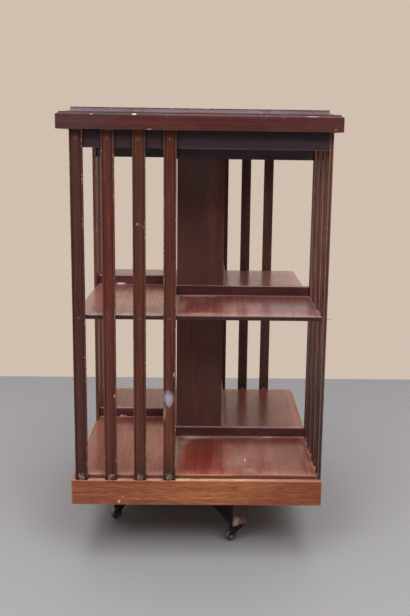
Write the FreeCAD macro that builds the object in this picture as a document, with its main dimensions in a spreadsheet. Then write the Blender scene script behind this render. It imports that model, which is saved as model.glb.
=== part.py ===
"""Revolving bookcase: two open tiers around a hollow column, turning on a cross base with casters.

Millimetres, +Z up.  The origin is on the floor, on the axis that the case turns about, and the
front is the -Y side.  The case repeats every 90 degrees, so most pieces are drawn once for the
front and turned about Z for the right (1), back (2) and left (3) sides.
"""
import FreeCAD, Part
import os
import Sketcher
from FreeCAD import Placement, Rotation, Vector

doc = FreeCAD.newDocument("RevolvingBookcase")

# ---------------------------------------------------------------- driving dimensions
sheet = doc.addObject("Spreadsheet::Sheet", "Dims")
used_rows = []


def cell(alias, size, note):
    """Enter a size in the sheet and return the expression that reads it."""
    used_rows.append(alias)
    row = len(used_rows)
    sheet.set(f"A{row}", note)
    sheet.set(f"B{row}", str(size))
    sheet.setAlias(f"B{row}", alias)
    return f"Dims.{alias}"


# case
board_width = cell("board_width", 441.0, "side of the square shelf boards")
shelf_thick = cell("shelf_thick", 8.0, "visible thickness of the shelf boards")
shelf_round = cell("shelf_round", 1.9, "rounding of the shelf edges")
reed_drop = cell("reed_drop", 2.9, "depth below a shelf's top of the groove round its edge")
reed_width = cell("reed_width", 1.5, "width of that groove")
reed_depth = cell("reed_depth", 1.0, "depth of that groove")
tier_clear = cell("tier_clear", 291.0, "clear height of each tier")
column_width = cell("column_width", 93.0, "outside of the hollow column")
column_wall = cell("column_wall", 9.0, "thickness of the column panels")
column_play = cell("column_play", 0.2, "gap around the column in the middle shelf")
slat_width = cell("slat_width", 22.0, "width of a slat")
slat_thick = cell("slat_thick", 7.0, "thickness of a slat")
slat_pitch = cell("slat_pitch", 53.0, "spacing of the slats")
bead_width = cell("bead_width", 3.2, "width of the bead along each edge of a slat")
bead_depth = cell("bead_depth", 1.3, "depth of the quirk beside that bead")
bead_quirk = cell("bead_quirk", 1.0, "width of that quirk")
stop_thick = cell("stop_thick", 7.0, "thickness of the book stops and top bearers")
stop_height = cell("stop_height", 19.0, "height of the book stops")
frieze_height = cell("frieze_height", 30.5, "height of the frieze rails")
frieze_thick = cell("frieze_thick", 18.0, "thickness of the frieze rails")
bearer_drop = cell("bearer_drop", 20.5, "how far the top bearers hang below the frieze")
rail_floor = cell("rail_floor", 111.0, "underside of the base rails above the floor")
rail_height = cell("rail_height", 47.5, "height of the base rails")
rail_thick = cell("rail_thick", 22.0, "thickness of the base rails")
rail_proud = cell("rail_proud", 0.5, "how far the base rails stand out past the slats")
rail_round = cell("rail_round", 1.6, "rounding of the base rail's outer edges")
arris = cell("arris", 0.9, "slight rounding of the other edges that show")

# top
top_width = cell("top_width", 480.0, "side of the square top over its fascia")
fascia_height = cell("fascia_height", 24.0, "height of the flat fascia")
moulding_width = cell("moulding_width", 44.0, "width of the mitred edge moulding")
bevel_in = cell("bevel_in", 4.7, "inset of the bevel above the fascia")
bevel_rise = cell("bevel_rise", 2.8, "rise of that bevel")
step_rise = cell("step_rise", 1.9, "upright step above the bevel")
cove_in = cell("cove_in", 16.9, "inset of the cove")
cove_rise = cell("cove_rise", 4.5, "rise of the cove")
cove_radius = cell("cove_radius", 22.0, "radius of the cove's curve")
lip_rise = cell("lip_rise", 3.8, "upright lip at the top edge")
top_thick = cell("top_thick", 18.0, "thickness of the top board")

# bearing
block_height = cell("block_height", 40.0, "height of the bearing block in the column's head")
cup_flange = cell("cup_flange", 22.0, "radius of the pivot cup's flange")
cup_plate = cell("cup_plate", 3.0, "thickness of that flange")
cup_barrel = cell("cup_barrel", 11.0, "radius of the pivot cup's barrel")
cup_depth = cell("cup_depth", 13.0, "depth of the pivot cup's bore")
cup_roof = cell("cup_roof", 4.0, "metal above that bore")
pivot_radius = cell("pivot_radius", 6.0, "radius of the steel pivot")
pivot_length = cell("pivot_length", 60.0, "length of the steel pivot")
running_fit = cell("running_fit", 0.06, "radial clearance of the turning fits")
thrust_gap = cell("thrust_gap", 0.2, "oil film over the pivot's tip")
post_radius = cell("post_radius", 17.0, "radius of the fixed centre post")
post_gap = cell("post_gap", 6.0, "gap from the post's head to the pivot cup")
tenon_radius = cell("tenon_radius", 11.0, "radius of the post's tenon")
tenon_stop = cell("tenon_stop", 8.0, "wood left below the tenon")
bush_width = cell("bush_width", 84.0, "side of the guide bush")
bush_height = cell("bush_height", 14.0, "height of the guide bush")
board_hole = cell("board_hole", 21.0, "radius of the post's hole in the bottom board")

# stand
stand_angle = cell("stand_angle", 26.0, "angle of the cross base against the case, degrees")
bar_length = cell("bar_length", 384.0, "length of a cross bar")
bar_width = cell("bar_width", 32.0, "width of a cross bar")
bar_height = cell("bar_height", 45.0, "height of a cross bar")
bar_chamfer = cell("bar_chamfer", 4.0, "chamfer under the ends of a cross bar")
hub_width = cell("hub_width", 100.0, "side of the hub block")
hub_height = cell("hub_height", 24.0, "height of the hub block")

# casters
caster_height = cell("caster_height", 37.0, "floor to the underside of the cross")
caster_circle = cell("caster_circle", 176.0, "radius of the circle that the caster stems stand on")
plate_radius = cell("plate_radius", 15.0, "radius of a caster's plate")
plate_thick = cell("plate_thick", 3.0, "thickness of a caster's plate")
swivel_gap = cell("swivel_gap", 0.3, "gap between crown and plate")
stem_radius = cell("stem_radius", 4.0, "radius of a caster's stem")
stem_length = cell("stem_length", 12.0, "stem above the caster's plate")
stem_room = cell("stem_room", 1.5, "gap around the stem's end in the cross")
wheel_radius = cell("wheel_radius", 11.5, "radius of a caster wheel")
wheel_width = cell("wheel_width", 10.0, "width of a caster wheel")
wheel_crown = cell("wheel_crown", 0.8, "crown of the wheel's tread")
wheel_play = cell("wheel_play", 0.6, "gap beside a wheel in its fork")
trail = cell("trail", 11.5, "trail of a caster")
crown_radius = cell("crown_radius", 11.0, "radius of the fork's crown")
crown_height = cell("crown_height", 6.5, "height of the fork's crown")
leg_thick = cell("leg_thick", 2.0, "thickness of a fork leg")
leg_radius = cell("leg_radius", 5.0, "radius of the leg around the axle")
axle_radius = cell("axle_radius", 2.0, "radius of a caster axle")
head_radius = cell("head_radius", 3.2, "radius of the axle's riveted heads")
head_thick = cell("head_thick", 1.2, "thickness of those heads")
glue_fit = cell("glue_fit", 0.02, "clearance of pieces that are fixed in a hole")
heading_near = cell("heading_near", 188.0, "heading of the near caster, degrees")
heading_right = cell("heading_right", 250.0, "heading of the right caster, degrees")
heading_far = cell("heading_far", 40.0, "heading of the far caster, degrees")
heading_left = cell("heading_left", 215.0, "heading of the left caster, degrees")

# screws
screw_head = cell("screw_head", 2.5, "radius of a slat screw's head")
screw_sink = cell("screw_sink", 2.0, "thickness of that head")
screw_shank = cell("screw_shank", 1.3, "radius of a slat screw's shank")
screw_length = cell("screw_length", 17.0, "length of a slat screw")
slot_width = cell("slot_width", 0.8, "width of the slot in a screw's head")
slot_depth = cell("slot_depth", 0.8, "depth of that slot")
plate_screw = cell("plate_screw", 10.5, "distance of the caster screws from the stem")
doc.recompute()


def value(expression):
    """The number that an expression over the sheet gives now."""
    return float(sheet.evalExpression(str(expression)))


# ---------------------------------------------------------------- derived levels and widths
half_board = f"({board_width} / 2)"
half_column = f"({column_width} / 2)"
slat_face = f"({half_board} + {slat_thick})"
rail_face = f"({slat_face} + {rail_proud})"
stop_face = f"({half_column} + {stop_thick})"
half_top = f"({top_width} / 2)"
top_opening = f"({half_top} - {moulding_width})"
frieze_inside = f"({half_board} - {frieze_thick})"

rail_top = f"({rail_floor} + {rail_height})"
bottom_top = f"({rail_top} + {shelf_thick})"
middle_floor = f"({bottom_top} + {tier_clear})"
middle_top = f"({middle_floor} + {shelf_thick})"
frieze_floor = f"({middle_top} + {tier_clear})"
fascia_floor = f"({frieze_floor} + {frieze_height})"
moulding_height = f"({fascia_height} + {bevel_rise} + {step_rise} + {cove_rise} + {lip_rise})"
top_level = f"({fascia_floor} + {moulding_height})"
top_underside = f"({top_level} - {top_thick})"
block_floor = f"({top_underside} - {block_height})"
cup_floor = f"({block_floor} - {cup_plate})"
pivot_tip = f"({cup_floor} + {cup_depth} - {thrust_gap})"
post_top = f"({cup_floor} - {post_gap})"

bar_floor = caster_height
bar_top = f"({bar_floor} + {bar_height})"
hub_top = f"({bar_top} + {hub_height})"
tenon_foot = f"({bar_floor} + {tenon_stop})"
plate_floor = f"({bar_floor} - {plate_thick})"
crown_top = f"({plate_floor} - {swivel_gap})"
crown_floor = f"({crown_top} - {crown_height})"
stem_top = f"({bar_floor} + {stem_length})"
fork_gap = f"({wheel_width} / 2 + {wheel_play})"
fork_face = f"({fork_gap} + {leg_thick})"

screw_levels = [
    f"({rail_top} + {shelf_thick} / 2)",
    f"({middle_floor} + {shelf_thick} / 2)",
    f"({frieze_floor} + {frieze_height} / 2)",
]
side_names = ["front", "right", "back", "left"]
caster_headings = [heading_near, heading_right, heading_far, heading_left]
nodes = []


# ---------------------------------------------------------------- helpers
def keep(piece, label):
    """Name a finished sub-part and put it on the list that is written out."""
    piece.Label = label
    nodes.append(piece)
    return piece


def new_body(name):
    return doc.addObject("PartDesign::Body", name)


def place(piece, x="0", y="0", z="0", turn="0"):
    """Seat a piece at (x, y, z), turned about Z by turn degrees."""
    piece.Placement = Placement(Vector(0, 0, 0), Rotation(Vector(0, 0, 1), 1))
    for axis, size in zip("xyz", (x, y, z)):
        piece.setExpression(f"Placement.Base.{axis}", size)
    piece.setExpression("Placement.Rotation.Angle", f"{turn} * 1 deg")


def new_sketch(body, plane, name):
    """A sketch on one of the body's own origin planes."""
    face = next(item for item in body.Origin.OriginFeatures if item.Role == plane)
    sketch = body.newObject("Sketcher::SketchObject", name)
    sketch.AttachmentSupport = [(face, "")]
    sketch.MapMode = "FlatFace"
    return sketch


def drive_point(sketch, curve, end, u, v):
    """Tie one end of a curve to the expressions u and v."""
    for kind, size, axis in (("DistanceX", u, -2), ("DistanceY", v, -1)):
        if abs(value(size)) < FreeCAD.Base.Precision.confusion():
            sketch.addConstraint(Sketcher.Constraint("PointOnObject", curve, end, axis))
        else:
            rule = sketch.addConstraint(
                Sketcher.Constraint(kind, -1, 1, curve, end, value(size)))
            sketch.setExpression(f"Constraints[{rule}]", size)


def outline(body, plane, corners, name="Outline"):
    """A closed sketch through the corners (u, v); a third entry makes the next side an arc.

    The arc entry is (radius expression, +1 or -1 for the side that it bulges to).
    """
    sketch = new_sketch(body, plane, name)
    spots = [Vector(value(corner[0]), value(corner[1]), 0) for corner in corners]
    starts, ends = [], []
    for index, corner in enumerate(corners):
        first, last = spots[index], spots[(index + 1) % len(spots)]
        if len(corner) == 2:
            curve = sketch.addGeometry(Part.LineSegment(first, last), False)
            starts.append((curve, 1))
            ends.append((curve, 2))
            continue
        radius, side = value(corner[2][0]), corner[2][1]
        chord = last - first
        sagitta = radius - (radius ** 2 - chord.Length ** 2 / 4) ** 0.5
        across = Vector(chord.y, -chord.x, 0).normalize() * (side * sagitta)
        curve = sketch.addGeometry(Part.Arc(first, (first + last) / 2 + across, last), False)
        forward = sketch.getPoint(curve, 1).distanceToPoint(first) < 1e-6
        starts.append((curve, 1 if forward else 2))
        ends.append((curve, 2 if forward else 1))
        rule = sketch.addConstraint(Sketcher.Constraint("Radius", curve, radius))
        sketch.setExpression(f"Constraints[{rule}]", corner[2][0])
    for index in range(len(corners)):
        following = starts[(index + 1) % len(corners)]
        sketch.addConstraint(Sketcher.Constraint("Coincident", *ends[index], *following))
        drive_point(sketch, *starts[index], corners[index][0], corners[index][1])
    return sketch


def rectangle(body, plane, u0, v0, u1, v1, name="Outline"):
    return outline(body, plane, [(u0, v0), (u1, v0), (u1, v1), (u0, v1)], name)


def circles(body, plane, spots, name="Holes"):
    """A sketch of circles (u, v, radius)."""
    sketch = new_sketch(body, plane, name)
    for u, v, radius in spots:
        centre = Vector(value(u), value(v), 0)
        curve = sketch.addGeometry(
            Part.Circle(centre, Vector(0, 0, 1), value(radius)), False)
        drive_point(sketch, curve, 3, u, v)
        rule = sketch.addConstraint(Sketcher.Constraint("Radius", curve, value(radius)))
        sketch.setExpression(f"Constraints[{rule}]", radius)
    return sketch


def lift(sketch, offset):
    """Move a sketch off its plane, along the plane's normal."""
    sketch.setExpression("AttachmentOffset.Base.z", offset)
    return sketch


def pad(body, sketch, length, symmetric=False, flip=False):
    feature = body.newObject("PartDesign::Pad", "Pad")
    feature.Profile = sketch
    feature.SideType = "Symmetric" if symmetric else "One side"
    feature.Reversed = flip
    feature.setExpression("Length", length)
    doc.recompute()
    return feature


def pocket(body, sketch, depth=None, symmetric=False, flip=False):
    """Cut a sketch out of the body; without a depth it goes right through, both ways."""
    before = body.Shape.Volume
    feature = body.newObject("PartDesign::Pocket", "Pocket")
    feature.Profile = sketch
    if depth is None:
        feature.Type = "ThroughAll"
        feature.SideType = "Symmetric"
    else:
        feature.SideType = "Symmetric" if symmetric else "One side"
        feature.Reversed = flip
        feature.setExpression("Length", depth)
    doc.recompute()
    if not body.Shape.Volume < before - 1e-3:
        raise RuntimeError(f"{body.Label}: {feature.Label} cuts nothing")
    return feature


def revolve(body, sketch):
    """Turn a sketch about its own upright axis."""
    feature = body.newObject("PartDesign::Revolution", "Revolution")
    feature.Profile = sketch
    feature.ReferenceAxis = (sketch, ["V_Axis"])
    feature.Angle = 360
    doc.recompute()
    return feature


def soften(body, radius, chosen, kind="Fillet"):
    """Round or chamfer the straight edges whose two ends both pass the test."""
    names = []
    for number, edge in enumerate(body.Shape.Edges, start=1):
        if edge.Curve.TypeId == "Part::GeomLine":
            first, last = (vertex.Point for vertex in (edge.Vertexes[0], edge.Vertexes[-1]))
            if chosen(first, last):
                names.append(f"Edge{number}")
    if not names:
        raise RuntimeError(f"{body.Label}: no edge to soften")
    base = body.Tip
    feature = body.newObject(f"PartDesign::{kind}", kind)
    feature.Base = (base, names)
    feature.setExpression("Radius" if kind == "Fillet" else "Size", radius)
    doc.recompute()
    return feature


def near(first, second):
    return abs(first - second) < 1e-4


def group(pieces, label):
    """Several equal pieces, each a solid of its own, under one name."""
    cluster = doc.addObject("Part::Compound", "Group")
    cluster.Links = pieces
    return keep(cluster, label)


# ---------------------------------------------------------------- the case
def board(label, floor, hole_corners=None, hole_circle=None):
    """A square shelf board with a grooved, rounded edge and a hole on the axis."""
    body = new_body(label)
    back = f"-{half_board}"
    pad(body, rectangle(body, "XY_Plane", back, back, half_board, half_board), shelf_thick)
    reach = value(half_board)
    soften(body, shelf_round, lambda a, b: near(a.z, b.z) and (
        near(abs(a.x + b.x) / 2, reach) or near(abs(a.y + b.y) / 2, reach)))
    level = f"({shelf_thick} - {reed_drop})"
    low, high = f"({level} - {reed_width} / 2)", f"({level} + {reed_width} / 2)"
    for plane in ("XZ_Plane", "YZ_Plane"):
        for sign in ("", "-"):
            groove = [(f"{sign}({half_board} - {reed_depth})", level),
                      (f"{sign}{half_board}", low), (f"{sign}({half_board} + 1)", low),
                      (f"{sign}({half_board} + 1)", high), (f"{sign}{half_board}", high)]
            pocket(body, outline(body, plane, groove, "Reed"))
    if hole_corners:
        low = f"-{hole_corners}"
        pocket(body, rectangle(body, "XY_Plane", low, low, hole_corners, hole_corners, "Hole"))
    else:
        pocket(body, circles(body, "XY_Plane", [("0", "0", hole_circle)], "Hole"))
    place(body, z=floor)
    return keep(body, label)


def mitred_rail(label, quarter, floor, profile, outside, inside, radius, rounded):
    """One side of a mitred frame: a section drawn in (y, z) run along X and cut at 45 degrees.

    The long edges through the (y, z) corners in rounded get the radius.
    """
    body = new_body(label)
    pad(body, outline(body, "YZ_Plane", profile), f"2 * {outside}", symmetric=True)
    spots = [(value(y), value(z)) for y, z in rounded]
    soften(body, radius, lambda a, b: near(a.y, b.y) and near(a.z, b.z) and any(
        near(a.y, y) and near(a.z, z) for y, z in spots))
    for name, sign in (("MitreRight", ""), ("MitreLeft", "-")):
        inner, outer = f"{sign}{inside}", f"{sign}{outside}"
        past = f"{sign}({outside} + 1)"
        corners = [(inner, f"-{inside}"), (outer, f"-{outside}"), (past, f"-{outside}"),
                   (past, f"-{inside} + 1"), (inner, f"-{inside} + 1")]
        pocket(body, outline(body, "XY_Plane", corners, name))
    place(body, z=floor, turn=str(90 * quarter))
    return keep(body, label)


def base_rail(quarter):
    inside = f"({rail_face} - {rail_thick})"
    profile = [(f"-{rail_face}", "0"), (f"-{inside}", "0"),
               (f"-{inside}", rail_height), (f"-{rail_face}", rail_height)]
    return mitred_rail(f"base_rail_{side_names[quarter]}", quarter, rail_floor, profile,
                       rail_face, inside, rail_round, [profile[0], profile[3]])


def frieze_rail(quarter):
    profile = [(f"-{half_board}", "0"), (f"-{frieze_inside}", "0"),
               (f"-{frieze_inside}", frieze_height), (f"-{half_board}", frieze_height)]
    return mitred_rail(f"frieze_rail_{side_names[quarter]}", quarter, frieze_floor, profile,
                       half_board, frieze_inside, arris, [profile[0]])


def top_moulding(quarter):
    """Flat fascia, then a bevel, a small step, a cove and an upright lip."""
    bevel_edge = f"-({half_top} - {bevel_in})"
    lip_edge = f"-({half_top} - {bevel_in} - {cove_in})"
    step_foot = f"({fascia_height} + {bevel_rise})"
    step_head = f"({step_foot} + {step_rise})"
    lip_foot = f"({step_head} + {cove_rise})"
    profile = [(f"-{half_top}", "0"), (f"-{top_opening}", "0"),
               (f"-{top_opening}", moulding_height), (lip_edge, moulding_height),
               (lip_edge, lip_foot, (cove_radius, -1)), (bevel_edge, step_head),
               (bevel_edge, step_foot), (f"-{half_top}", fascia_height)]
    return mitred_rail(f"top_moulding_{side_names[quarter]}", quarter, fascia_floor, profile,
                       half_top, top_opening, arris,
                       [profile[0], profile[7], (lip_edge, moulding_height)])


def top_board():
    body = new_body("top_board")
    low = f"-{top_opening}"
    pad(body, rectangle(body, "XY_Plane", low, low, top_opening, top_opening), top_thick)
    place(body, z=top_underside)
    return keep(body, "top_board")


def column_panel(quarter):
    """Each panel runs from its own corner to the inside of the next one."""
    body = new_body("column_panel")
    inside = f"({half_column} - {column_wall})"
    pad(body, rectangle(body, "XY_Plane", f"-{half_column}", f"-{half_column}",
                        inside, f"-{inside}"), f"{top_underside} - {bottom_top}")
    corner = value(f"-{half_column}")
    soften(body, arris, lambda a, b: near(a.x, corner) and near(a.y, corner)
           and near(b.x, corner) and near(b.y, corner))
    place(body, z=bottom_top, turn=str(90 * quarter))
    return keep(body, f"column_panel_{side_names[quarter]}")


def slat(quarter, number):
    """A slat with a bead along both edges, from the base rail up to the fascia's underside."""
    body = new_body("slat")
    start = f"(-{half_board} + {number} * {slat_pitch})"
    finish = f"({start} + {slat_width})"
    foot = f"-({slat_face} - {bead_depth})"
    bead = f"((({bead_width} / 2) ^ 2 + {bead_depth} ^ 2) / (2 * {bead_depth}))"
    corners = [(start, f"-{half_board}"), (finish, f"-{half_board}"), (finish, foot, (bead, -1)),
               (f"({finish} - {bead_width})", foot),
               (f"({finish} - {bead_width} - {bead_quirk})", f"-{slat_face}"),
               (f"({start} + {bead_width} + {bead_quirk})", f"-{slat_face}"),
               (f"({start} + {bead_width})", foot, (bead, -1)), (start, foot)]
    pad(body, outline(body, "XY_Plane", corners), f"{fascia_floor} - {rail_top}")
    middle = f"({start} + {slat_width} / 2)"
    spots = [(middle, f"({height} - {rail_top})") for height in screw_levels]
    pocket(body, circles(body, "XZ_Plane", [(*spot, screw_shank) for spot in spots]))
    heads = circles(body, "XZ_Plane", [(*spot, screw_head) for spot in spots], "Heads")
    pocket(body, lift(heads, slat_face), screw_sink)
    place(body, z=rail_top, turn=str(90 * quarter))
    return keep(body, f"slat_{side_names[quarter]}_{number + 1}")


def wood_screw(slot_angle):
    """A slotted screw that points up Z, the face of its head at the origin."""
    up = Vector(0, 0, 1)
    head = Part.makeCylinder(value(screw_head), value(screw_sink))
    shank = Part.makeCylinder(value(screw_shank), value(screw_length))
    long, wide, deep = 3 * value(screw_head), value(slot_width), value(slot_depth)
    slot = Part.makeBox(long, wide, 2 * deep, Vector(-long / 2, -wide / 2, -deep))
    slot.rotate(Vector(0, 0, 0), up, slot_angle)
    return head.fuse(shank).removeSplitter().cut(slot)


def slat_screws(slots):
    """Brass wood screws through each slat into the shelves' edges and the frieze."""
    solids = []
    for quarter, number in slots:
        across = value(f"-{half_board} + {number} * {slat_pitch} + {slat_width} / 2")
        for level in screw_levels:
            screw = wood_screw(37 * len(solids))
            screw.rotate(Vector(0, 0, 0), Vector(1, 0, 0), -90)
            screw.translate(Vector(across, -value(slat_face), value(level)))
            screw.rotate(Vector(0, 0, 0), Vector(0, 0, 1), 90 * quarter)
            solids.append(screw)
    feature = doc.addObject("Part::Feature", "slat_screws")
    feature.Shape = Part.makeCompound(solids)
    return keep(feature, "slat_screws")


def book_stop(quarter, floor):
    """A strip beside the column that keeps the books off the next compartment."""
    body = new_body("book_stop")
    pad(body, rectangle(body, "XY_Plane", f"-{half_column}", f"-{stop_face}",
                        half_board, f"-{half_column}"), stop_height)
    head = value(stop_height)
    soften(body, arris, lambda a, b: near(a.z, head) and near(b.z, head) and near(a.y, b.y))
    place(body, z=floor, turn=str(90 * quarter))
    return body


def top_bearer(quarter):
    """A bearer beside the column's head, notched under the frieze and the moulding."""
    body = new_body("top_bearer")
    frieze_foot = bearer_drop
    moulding_foot = f"({bearer_drop} + {frieze_height})"
    head = f"({top_underside} - {frieze_floor} + {bearer_drop})"
    corners = [(f"-{half_column}", "0"), (half_board, "0"), (half_board, frieze_foot),
               (frieze_inside, frieze_foot), (frieze_inside, moulding_foot),
               (top_opening, moulding_foot), (top_opening, head), (f"-{half_column}", head)]
    sketch = lift(outline(body, "XZ_Plane", corners), half_column)
    pad(body, sketch, stop_thick)
    place(body, z=f"{frieze_floor} - {bearer_drop}", turn=str(90 * quarter))
    return body


def bearing_block():
    """The block in the column's head, bored for the pivot cup."""
    body = new_body("bearing_block")
    half = f"({half_column} - {column_wall})"
    low = f"-{half}"
    pad(body, rectangle(body, "XY_Plane", low, low, half, half), block_height)
    seat = circles(body, "XY_Plane", [("0", "0", f"({cup_barrel} + {glue_fit})")], "Seat")
    pocket(body, seat, f"{cup_depth} + {cup_roof} - {cup_plate}", flip=True)
    place(body, z=block_floor)
    return keep(body, "bearing_block")


def pivot_cup():
    """The flanged cup that hangs the whole case on the pivot's tip."""
    body = new_body("pivot_cup")
    bore = f"({pivot_radius} + {running_fit})"
    roof = f"({cup_depth} + {cup_roof})"
    corners = [(bore, "0"), (cup_flange, "0"), (cup_flange, cup_plate),
               (cup_barrel, cup_plate), (cup_barrel, roof), ("0", roof), ("0", cup_depth),
               (bore, cup_depth)]
    revolve(body, outline(body, "XZ_Plane", corners))
    place(body, z=cup_floor)
    return keep(body, "pivot_cup")


def guide_bush():
    """The hardwood collar under the bottom board that runs on the post."""
    body = new_body("guide_bush")
    half = f"({bush_width} / 2)"
    low = f"-{half}"
    pad(body, rectangle(body, "XY_Plane", low, low, half, half), bush_height)
    pocket(body, circles(body, "XY_Plane", [("0", "0", f"({post_radius} + {running_fit})")]))
    place(body, z=f"{rail_top} - {bush_height}")
    return keep(body, "guide_bush")


# ---------------------------------------------------------------- the stand
def cross_bar(label, quarter, notch_from_top):
    """A bar of the cross, halved over the other one, bored for tenon and caster stems."""
    body = new_body(label)
    half_length, half_width = f"({bar_length} / 2)", f"({bar_width} / 2)"
    pad(body, rectangle(body, "XY_Plane", f"-{half_width}", f"-{half_length}",
                        half_width, half_length), bar_height)
    end = value(half_length)
    soften(body, bar_chamfer, lambda a, b: near(abs(a.y), end) and near(a.y, b.y)
           and near(a.z, 0) and near(b.z, 0), kind="Chamfer")
    notch = rectangle(body, "XY_Plane", f"-{half_width}", f"-{half_width}",
                      half_width, half_width, "Notch")
    if notch_from_top:
        pocket(body, lift(notch, bar_height), f"{bar_height} / 2")
        pocket(body, lift(circles(body, "XY_Plane", [("0", "0", tenon_radius)], "Mortise"),
                          f"{bar_height}"), f"{bar_height} - {tenon_stop}")
    else:
        pocket(body, notch, f"{bar_height} / 2", flip=True)
        pocket(body, circles(body, "XY_Plane", [("0", "0", tenon_radius)], "Mortise"))
    stem_hole = f"({stem_radius} + {stem_room})"
    stems = circles(body, "XY_Plane", [("0", caster_circle, stem_hole),
                                       ("0", f"-{caster_circle}", stem_hole)], "Stems")
    pocket(body, stems, f"{stem_length} + {stem_room}", flip=True)
    place(body, z=bar_floor, turn=f"({stand_angle} + {90 * quarter})")
    return keep(body, label)


def hub_block():
    body = new_body("hub_block")
    half = f"({hub_width} / 2)"
    low = f"-{half}"
    pad(body, rectangle(body, "XY_Plane", low, low, half, half), hub_height)
    pocket(body, circles(body, "XY_Plane", [("0", "0", tenon_radius)], "Mortise"))
    place(body, z=bar_top, turn=stand_angle)
    return keep(body, "hub_block")


def center_post():
    """The fixed post: tenoned through the hub into the cross, bored for the steel pivot."""
    body = new_body("center_post")
    bore = f"({pivot_radius} + {glue_fit})"
    bore_foot = f"({pivot_tip} - {pivot_length})"
    corners = [("0", tenon_foot), (tenon_radius, tenon_foot), (tenon_radius, hub_top),
               (post_radius, hub_top), (post_radius, post_top), (bore, post_top),
               (bore, bore_foot), ("0", bore_foot)]
    revolve(body, outline(body, "XZ_Plane", corners))
    return keep(body, "center_post")


def pivot_pin():
    body = new_body("pivot_pin")
    pad(body, circles(body, "XY_Plane", [("0", "0", pivot_radius)]), pivot_length)
    place(body, z=f"{pivot_tip} - {pivot_length}")
    return keep(body, "pivot_pin")


# ---------------------------------------------------------------- the casters
def stem_spot(quarter):
    """The caster's stem: angle about the axis, x and y."""
    angle = f"(({stand_angle} + {90 * quarter}) * 1 deg)"
    return f"{caster_circle} * sin({angle})", f"-{caster_circle} * cos({angle})"


def caster_plate(quarter):
    """A round plate under the arm's end, with a bore for the stem and two screw holes."""
    body = new_body("caster_plate")
    pad(body, circles(body, "XY_Plane", [("0", "0", plate_radius)], "Rim"), plate_thick)
    bore = f"({stem_radius} + {running_fit})"
    pocket(body, circles(body, "XY_Plane", [("0", "0", bore),
                                            ("0", plate_screw, screw_shank),
                                            ("0", f"-{plate_screw}", screw_shank)]))
    heads = [("0", plate_screw, screw_head), ("0", f"-{plate_screw}", screw_head)]
    pocket(body, circles(body, "XY_Plane", heads, "Heads"), screw_sink, flip=True)
    place(body, *stem_spot(quarter), plate_floor, f"({stand_angle} + {90 * quarter})")
    return body


def caster_screws():
    """Two screws through each caster plate into the cross."""
    solids = []
    for quarter in range(4):
        for side in (-1, 1):
            screw = wood_screw(53 * len(solids))
            screw.translate(Vector(0, -value(caster_circle) + side * value(plate_screw),
                                   value(plate_floor)))
            screw.rotate(Vector(0, 0, 0), Vector(0, 0, 1), value(stand_angle) + 90 * quarter)
            solids.append(screw)
    feature = doc.addObject("Part::Feature", "caster_screws")
    feature.Shape = Part.makeCompound(solids)
    return keep(feature, "caster_screws")


def caster_fork(quarter):
    """Crown and stem in one with two legs that reach back to the axle."""
    body = new_body("caster_fork")
    foot = f"({wheel_radius} - {leg_radius})"
    shape = [(f"-{crown_radius} / 2", crown_floor),
             (f"{trail} - {leg_radius}", wheel_radius, (leg_radius, 1)),
             (trail, foot, (leg_radius, 1)),
             (f"{trail} + {leg_radius}", wheel_radius),
             (f"{crown_radius}", crown_floor),
             (f"{crown_radius} * 0.7", f"({crown_floor} + {crown_height} / 2)"),
             (f"-{crown_radius} / 2", f"({crown_floor} + {crown_height} / 2)")]
    pad(body, outline(body, "XZ_Plane", shape, "Legs"), f"2 * {fork_face}", symmetric=True)
    reach = f"({crown_radius} + {trail} + {leg_radius})"
    room = rectangle(body, "XZ_Plane", f"-{reach}", "0", reach, crown_floor, "Room")
    pocket(body, room, f"2 * {fork_gap}", symmetric=True)
    crown = [("0", crown_floor), (crown_radius, crown_floor), (crown_radius, crown_top),
             (stem_radius, crown_top), (stem_radius, stem_top), ("0", stem_top)]
    revolve(body, outline(body, "XZ_Plane", crown, "Crown"))
    bore = f"({axle_radius} + {glue_fit})"
    pocket(body, circles(body, "XZ_Plane", [(trail, wheel_radius, bore)], "AxleHole"))
    place(body, *stem_spot(quarter), "0", caster_headings[quarter])
    return keep(body, f"caster_fork_{quarter + 1}")


def axle_spot(quarter):
    """The middle of a caster's wheel."""
    x, y = stem_spot(quarter)
    angle = f"({caster_headings[quarter]} * 1 deg)"
    return f"{x} + {trail} * cos({angle})", f"{y} + {trail} * sin({angle})"


def caster_axle(quarter):
    """A rivet through both legs, its heads outside them; drawn along Y."""
    body = new_body("caster_axle")
    end = f"({fork_face} + {head_thick})"
    corners = [("0", f"-{end}"), (head_radius, f"-{end}"), (head_radius, f"-{fork_face}"),
               (axle_radius, f"-{fork_face}"), (axle_radius, fork_face),
               (head_radius, fork_face), (head_radius, end), ("0", end)]
    revolve(body, outline(body, "XY_Plane", corners))
    place(body, *axle_spot(quarter), wheel_radius, caster_headings[quarter])
    return keep(body, f"caster_axle_{quarter + 1}")


def caster_wheel(quarter):
    """A solid wheel with a crowned tread; drawn along Y."""
    body = new_body("caster_wheel")
    bore = f"({axle_radius} + {running_fit})"
    half = f"({wheel_width} / 2)"
    shoulder = f"({wheel_radius} - {wheel_crown})"
    bulge = f"(({half} ^ 2 + {wheel_crown} ^ 2) / (2 * {wheel_crown}))"
    corners = [(bore, f"-{half}"), (shoulder, f"-{half}", (bulge, 1)), (shoulder, half),
               (bore, half)]
    revolve(body, outline(body, "XY_Plane", corners))
    place(body, *axle_spot(quarter), wheel_radius, caster_headings[quarter])
    return keep(body, f"caster_wheel_{quarter + 1}")


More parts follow.
